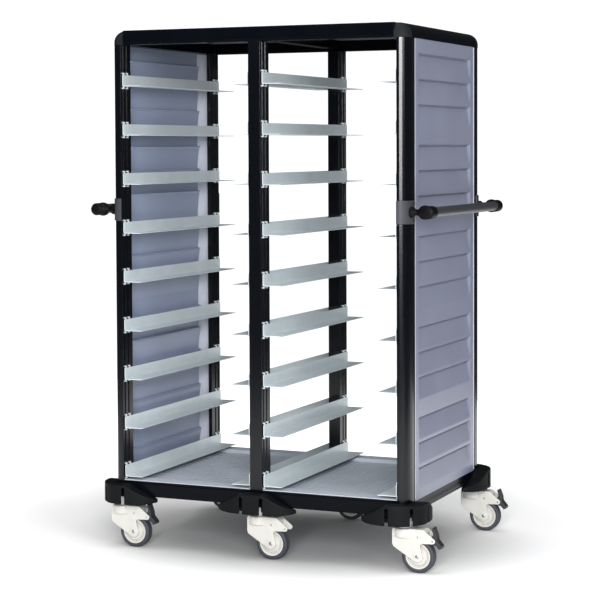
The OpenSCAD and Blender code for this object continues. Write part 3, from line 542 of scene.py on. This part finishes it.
# Blackened steel: dark and oily, with turning marks around the head
marks = add(tree, "ShaderNodeTexNoise", {"Vector": place, "Scale": 900.0, "Detail": 2.0})
rough = add(tree, "ShaderNodeMapRange", {"Value": marks.outputs[0], "To Min": 0.2, "To Max": 0.4})
end(tree, {"Base Color": linear("2c2d30"), "Roughness": rough.outputs[0], "Metallic": 1.0})
head = [(0, 0.9), (1.9, 0.9), (2.0, 1.9), (2.6, 2.0), (3.6, 1.5), (4.4, 0.5), (4.5, -0.5), (0, -0.5)]
piece("fixing_screw_heads", [mirrored(turned(head, (490, -304, z), "X", 24), side, end_sign)
                             for side in (-1, 1) for end_sign in (-1, 1) for z in (1024, 1076)],
      screw_metal, stands_for=["fixing_screws"], angle=40)

# ---- Bumpers -----------------------------------------------------------------
# Hollow black polypropylene mouldings around the foot of each post, with wings
# that fall to their tips. Slots in the face show the collar of the caster.

bumper_plastic, tree, place = begin("black_polypropylene_bumper")
# Polypropylene: dull black, eroded mould texture of about 1 mm, drawn 2 mm, scuffed a little paler
grain = add(tree, "ShaderNodeTexNoise", {"Vector": place, "Scale": 480.0, "Detail": 3.0})
scuff = add(tree, "ShaderNodeTexNoise", {"Vector": place, "Scale": 22.0, "Detail": 5.0})
tone = add(tree, "ShaderNodeMix", {0: scuff.outputs[0], 6: linear("070809"), 7: linear("101315")},
           data_type="RGBA")
rough = add(tree, "ShaderNodeMapRange", {"Value": scuff.outputs[0], "To Min": 0.5, "To Max": 0.7})
bump = add(tree, "ShaderNodeBump", {"Height": grain.outputs[0], "Strength": 0.35, "Distance": 0.0005})
end(tree, {"Base Color": tone.outputs[2], "Roughness": rough.outputs[0], "IOR": 1.3,
           "Specular IOR Level": 0.25, "Normal": bump.outputs[0]})


def melted(obj, voxel, passes, kept):
    """Melts the edges of a moulding: filled with small cubes, relaxed, then thinned."""
    melt = obj.modifiers.new("melt", "REMESH")
    melt.mode, melt.voxel_size = "VOXEL", voxel
    relax = obj.modifiers.new("relax", "SMOOTH")
    relax.factor, relax.iterations = 0.5, passes
    obj.modifiers.new("thin", "DECIMATE").ratio = kept
    return melt


for end_name in ENDS:
    for side_name in SIDES:
        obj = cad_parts[f"bumper_{end_name}_{side_name}"]
        obj.data.materials.clear()
        obj.data.materials.append(bumper_plastic)
        # the moulding has no sharp edge: every edge is melted to a radius of about 3 mm
        melted(obj, 0.0018, 6, 0.25).use_smooth_shade = True

# ---- Casters -----------------------------------------------------------------
# Six swivel casters: a moulded white nylon fork under a nylon collar and a steel
# stem, a nylon rim and a grey rubber tyre. The four at the corners have a foot
# pedal that brakes them.

nylon, tree, place = begin("white_nylon")
# Polyamide, natural white: warm, slightly milky, with a soft sheen and faint flow marks of about 20 mm
flow = add(tree, "ShaderNodeTexNoise", {"Vector": place, "Scale": 45.0, "Detail": 4.0})
tone = add(tree, "ShaderNodeMix", {0: flow.outputs[0], 6: linear("b4b3ac"), 7: linear("c6c5c0")},
           data_type="RGBA")
rough = add(tree, "ShaderNodeMapRange", {"Value": flow.outputs[0], "To Min": 0.32, "To Max": 0.45})
grain = add(tree, "ShaderNodeTexNoise", {"Vector": place, "Scale": 700.0, "Detail": 2.0})
bump = add(tree, "ShaderNodeBump", {"Height": grain.outputs[0], "Strength": 0.08, "Distance": 0.0003})
end(tree, {"Base Color": tone.outputs[2], "Roughness": rough.outputs[0], "IOR": 1.53,
           "Subsurface Weight": 0.05, "Subsurface Scale": 0.002, "Normal": bump.outputs[0]})

rubber, tree, place = begin("grey_rubber")
# Thermoplastic rubber: blue-grey, dull, a little dusty where it rolls
dust = add(tree, "ShaderNodeTexNoise", {"Vector": place, "Scale": 60.0, "Detail": 5.0})
tone = add(tree, "ShaderNodeMix", {0: dust.outputs[0], 6: linear("20222a"), 7: linear("3a3d46")},
           data_type="RGBA")
bump = add(tree, "ShaderNodeBump", {"Height": dust.outputs[0], "Strength": 0.15, "Distance": 0.0005})
end(tree, {"Base Color": tone.outputs[2], "Roughness": 0.62, "IOR": 1.5, "Normal": bump.outputs[0]})

steel, tree, place = begin("zinc_plated_stem")
# Zinc-plated steel: grey satin, with turning marks around the stem
marks = add(tree, "ShaderNodeTexNoise", {"Vector": place, "Scale": 700.0, "Detail": 2.0})
rough = add(tree, "ShaderNodeMapRange", {"Value": marks.outputs[0], "To Min": 0.3, "To Max": 0.5})
end(tree, {"Base Color": linear("a9abad"), "Roughness": rough.outputs[0], "Metallic": 1.0})

pedal_plastic, tree, place = begin("black_polyamide_pedal")
# Polyamide: black, half matt, rubbed smooth where the shoe meets it
grain = add(tree, "ShaderNodeTexNoise", {"Vector": place, "Scale": 500.0, "Detail": 3.0})
tone = add(tree, "ShaderNodeMix", {0: grain.outputs[0], 6: linear("15161a"), 7: linear("26272c")},
           data_type="RGBA")
bump = add(tree, "ShaderNodeBump", {"Height": grain.outputs[0], "Strength": 0.25, "Distance": 0.0004})
end(tree, {"Base Color": tone.outputs[2], "Roughness": 0.5, "IOR": 1.53, "Normal": bump.outputs[0]})

AXLE, STEM_X, STEM_Y = (45, 0, 50), 466, 320
cheek = ([(-27, 130), (-30.5, 128.7), (-32, 125), (-32, 84), (-29, 76)] + arc(45, 50, 17, 17, 231, 352, 12)
         + [(56, 72), (54, 82), (56, 86.5), (61, 88.6), (92, 90)] + arc(92, 98, 8, 8, 290, 400, 6)
         + [(70, 124.5), (66, 128.5), (60, 130)])
crown = ([(-27, 130), (-32, 125), (-32, 84), (-29, 76), (-8, 66)] + arc(45, 50, 52.5, 52.5, 164, 62, 16)
         + [(72, 104), (72, 121), (66, 128.5), (60, 130)])
head_profile = [(0, 104), (31, 104), (32, 106), (32, 125), (30.5, 128.6), (28, 130), (7, 130), (7, 108),
                (0, 108)]
hubs = [turned([(0, s * 22), (11, s * 22), (12.5, s * 21), (12.5, s * 17), (0, s * 17)], AXLE, "Y", 32)
        for s in (-1, 1)]
fork_mesh = skin("fork", [prism(cheek, "Y", -21, -16.5), prism(cheek, "Y", 16.5, 21),
                          prism(crown, "Y", -18, 18), turned(head_profile, (0, 0, 0), "Z", 64)] + hubs)
blank = bpy.data.objects.new("fork_blank", fork_mesh)
bpy.context.scene.collection.objects.link(blank)
melted(blank, 0.0011, 5, 0.22)
fork_mesh = bpy.data.meshes.new_from_object(blank.evaluated_get(bpy.context.evaluated_depsgraph_get()))
bpy.data.objects.remove(blank)

rim_profile = [(5.1, 15), (13, 15), (14.5, 13.5), (16, 11), (26, 10.5), (27, 8), (31, 8), (32, 10.5),
               (33.5, 12.6), (38, 13)]
rim_profile += [(r, -t) for r, t in reversed(rim_profile)]
# thirty short ribs across the groove of the rim, drawn around the axle
RIBS = 30
rib_points, rib_faces = prism([(27, -0.8), (32.8, -0.8), (32.8, 0.8), (27, 0.8)], "Y", -11.6, 11.6)
ribs = []
for k in range(RIBS):
    a = 2 * math.pi * k / RIBS
    ribs.append(([(AXLE[0] + u * math.cos(a) - w * math.sin(a), y,
                   AXLE[2] + u * math.sin(a) + w * math.cos(a)) for u, y, w in rib_points], rib_faces))
tyre_profile = [(38, 13), (39.5, 14.6), (42, 15), (46, 14.7), (48.6, 12.8), (49.6, 10.5), (50, 7.5),
                (50, 2.2), (49.3, 1.6), (49.3, 0)]
tyre_profile += [(r, -t) for r, t in reversed(tyre_profile[:-1])]
shoe = [(88, 135), (90, 136), (93, 136), (101, 115), (103, 100), (117, 84), (117, 77), (110, 74), (101, 84),
        (92, 86), (84, 83.5), (82, 92), (85, 106), (93, 117)]
stem = [(0, 163), (6, 163), (6, 108), (0, 108)]
collar = [(6.2, 158), (19, 158), (20, 157), (20, 131.3), (19, 130.4), (6.2, 130.4)]


def shift(shape, x, y):
    """The same shape at another caster."""
    return [(px + x, py + y, pz) for px, py, pz in shape[0]], shape[1]


stems, collars = [], []
for end_name, end_sign in ENDS.items():
    for side_name, side in SIDES.items():
        where = f"{end_name}_{side_name}"
        x, y = STEM_X * side, STEM_Y * end_sign
        fork = bpy.data.objects.new("nylon_fork_" + where, fork_mesh)
        bpy.context.scene.collection.objects.link(fork)
        fork.location = (x / 1000, y / 1000, 0)
        if not fork_mesh.materials:
            fork_mesh.materials.append(nylon)
            fork_mesh.polygons.foreach_set("use_smooth", [True] * len(fork_mesh.polygons))
        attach(fork, "fork_body_" + where)
        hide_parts("fork_" + where)
        pins = [turned([(0, s * 22.6), (4.5, s * 22.6), (5.5, s * 22), (5.5, s * 17), (0, s * 17)], AXLE,
                       "Y", 24) for s in (-1, 1)]
        pins += [turned([(0, s * 21.6), (2.4, s * 21.6), (3, s * 21), (3, s * 17), (0, s * 17)], spot, "Y", 20)
                 for s in (-1, 1) for spot in ((92, 0, 98), (47, 0, 107))]
        piece("pins_" + where, [shift(pin, x, y) for pin in pins], steel, "fork_body_" + where)
        piece("nylon_rim_" + where, [shift(turned(rim_profile, AXLE, "Y", 72), x, y)]
              + [shift(rib, x, y) for rib in ribs], nylon, "wheel_" + where, stands_for=["rim_" + where])
        piece("rubber_tyre_" + where, [shift(turned(tyre_profile, AXLE, "Y", 96), x, y)], rubber,
              "wheel_" + where, stands_for=["tyre_" + where], angle=50)
        if side:
            piece("foot_pedal_" + where, [shift(prism(shoe, "Y", -15, 15), x, y)], pedal_plastic,
                  "pedal_" + where, stands_for=["brake_pedal_" + where], edge=1.5, segments=3)
        stems.append(shift(turned(stem, (0, 0, 0), "Z"), x, y))
        collars.append(shift(turned(collar, (0, 0, 0), "Z"), x, y))
piece("steel_stems", stems, steel, stands_for=["caster_stems"], angle=40)
piece("swivel_collars", collars, nylon, angle=40)

# ---- Room: camera, floor and lamps ---------------------------------------------
# A white studio floor, painted with a shadow under the cart and glowing away from it
# as painted light, and four soft lamps: a wide one above, one at the right, one above
# the camera, and a tall one beside it that draws the line of light on the right front post.

scene = bpy.context.scene
camera = bpy.data.objects.new("camera", bpy.data.cameras.new("camera"))
scene.collection.objects.link(camera)
turn, tilt, roll = math.radians(23.245), math.radians(2.536), math.radians(0.23)
forward = Vector((-math.sin(turn) * math.cos(tilt), math.cos(turn) * math.cos(tilt), -math.sin(tilt)))
right = forward.cross(Vector((0, 0, 1))).normalized()
up = right.cross(forward)
rolled = right * math.cos(roll) - up * math.sin(roll)
up = rolled.cross(forward)
camera.matrix_world = Matrix((rolled, up, -forward)).transposed().to_4x4()
camera.location = (2.2814, -5.3130, 1.2385)
# the focal length and the row of the optical centre, in pixels of a picture 600 pixels wide
PICTURE, SENSOR, FOCAL, MIDDLE_ROW = 600, 36.0, 1830.3, 228.76
camera.data.sensor_width = SENSOR
camera.data.lens = FOCAL / PICTURE * SENSOR
camera.data.shift_y = (MIDDLE_ROW - PICTURE / 2) / PICTURE
camera.data.clip_end = 100.0
scene.camera = camera
scene.view_settings.view_transform = "Standard"

floor_paint, tree, place = begin("matt_white_floor_paint")
# Matt paint, rolled on: white, with a faint tooth of the roller
tooth = add(tree, "ShaderNodeTexNoise", {"Vector": place, "Scale": 120.0, "Detail": 2.0})
tone = add(tree, "ShaderNodeMix", {0: tooth.outputs[0], 6: linear("f0f0f0"), 7: linear("f6f6f6")},
           data_type="RGBA")
# the floor isn't even: a painted shadow makes it greyer under the cart, which deepens the cart's shadow, and
# away from the cart it glows as painted light, though it is no lamp, until it is as white as the wall
near = add(tree, "ShaderNodeMapping", {"Vector": place, "Scale": (1.0, 1.35, 1.0)})
near = add(tree, "ShaderNodeVectorMath", {0: near.outputs[0]}, operation="LENGTH")
painted_shadow = add(tree, "ShaderNodeMapRange", {"Value": near.outputs["Value"], "From Min": 0.35, "From Max": 0.85},
           interpolation_type="SMOOTHSTEP")
tone = add(tree, "ShaderNodeMix", {0: painted_shadow.outputs[0], 6: linear("aeaeae"), 7: tone.outputs[2]},
           data_type="RGBA")
away = add(tree, "ShaderNodeVectorMath", {0: place}, operation="LENGTH")
painted_glow = add(tree, "ShaderNodeMapRange", {"Value": away.outputs["Value"], "From Min": 0.8, "From Max": 2.0,
                                       "To Min": 0.0, "To Max": 0.7}, interpolation_type="SMOOTHSTEP")
end(tree, {"Base Color": tone.outputs[2], "Roughness": 0.85, "Specular IOR Level": 0.1,
           "Emission Color": (1, 1, 1, 1), "Emission Strength": painted_glow.outputs[0]})
FLOOR = 3200
ground = bpy.data.objects.new("studio_floor", skin("studio_floor", [(
    [(-FLOOR, -FLOOR, 0), (FLOOR, -FLOOR, 0), (FLOOR, FLOOR, 0), (-FLOOR, FLOOR, 0)], [(0, 1, 2, 3)])]))
ground.data.materials.append(floor_paint)
scene.collection.objects.link(ground)

# the room is dim to mirrored rays, so that black stays black, and full white to the camera
world = bpy.data.worlds.new("studio")
scene.world = world
world.use_nodes = True
world.node_tree.nodes.clear()
tree = world.node_tree
rays = add(tree, "ShaderNodeLightPath")
soft = add(tree, "ShaderNodeMix", {0: rays.outputs["Is Glossy Ray"], 2: 0.58, 3: 0.05})
level = add(tree, "ShaderNodeMix", {0: rays.outputs["Is Camera Ray"], 2: soft.outputs[0], 3: 1.1})
sky = add(tree, "ShaderNodeBackground", {"Color": (1, 1, 1, 1), "Strength": level.outputs[0]})
add(tree, "ShaderNodeOutputWorld", {"Surface": sky.outputs[0]})


def lamp(name, place, aim, size, power):
    """A rectangular lamp, turned to the point it lights; metres and watts."""
    light = bpy.data.lights.new(name, "AREA")
    light.shape, light.size, light.size_y, light.energy = "RECTANGLE", size[0], size[1], power
    obj = bpy.data.objects.new(name, light)
    scene.collection.objects.link(obj)
    obj.location = place
    obj.rotation_mode = "QUATERNION"
    obj.rotation_quaternion = (Vector(aim) - Vector(place)).to_track_quat("-Z", "Y")


lamp("overhead_lamp", (0.0, -0.6, 4.5), (0, 0, 0.5), (3.5, 3.0), 90)
lamp("right_lamp", (4.5, -3.2, 2.6), (0.4, 0, 1.2), (2.0, 2.0), 100)
lamp("front_lamp", (2.4, -5.6, 2.5), (0, 0, 1.5), (1.8, 1.6), 270)
lamp("line_lamp", (1.55, -6.5, 1.6), (0.45, -0.3, 1.3), (0.7, 1.4), 140)
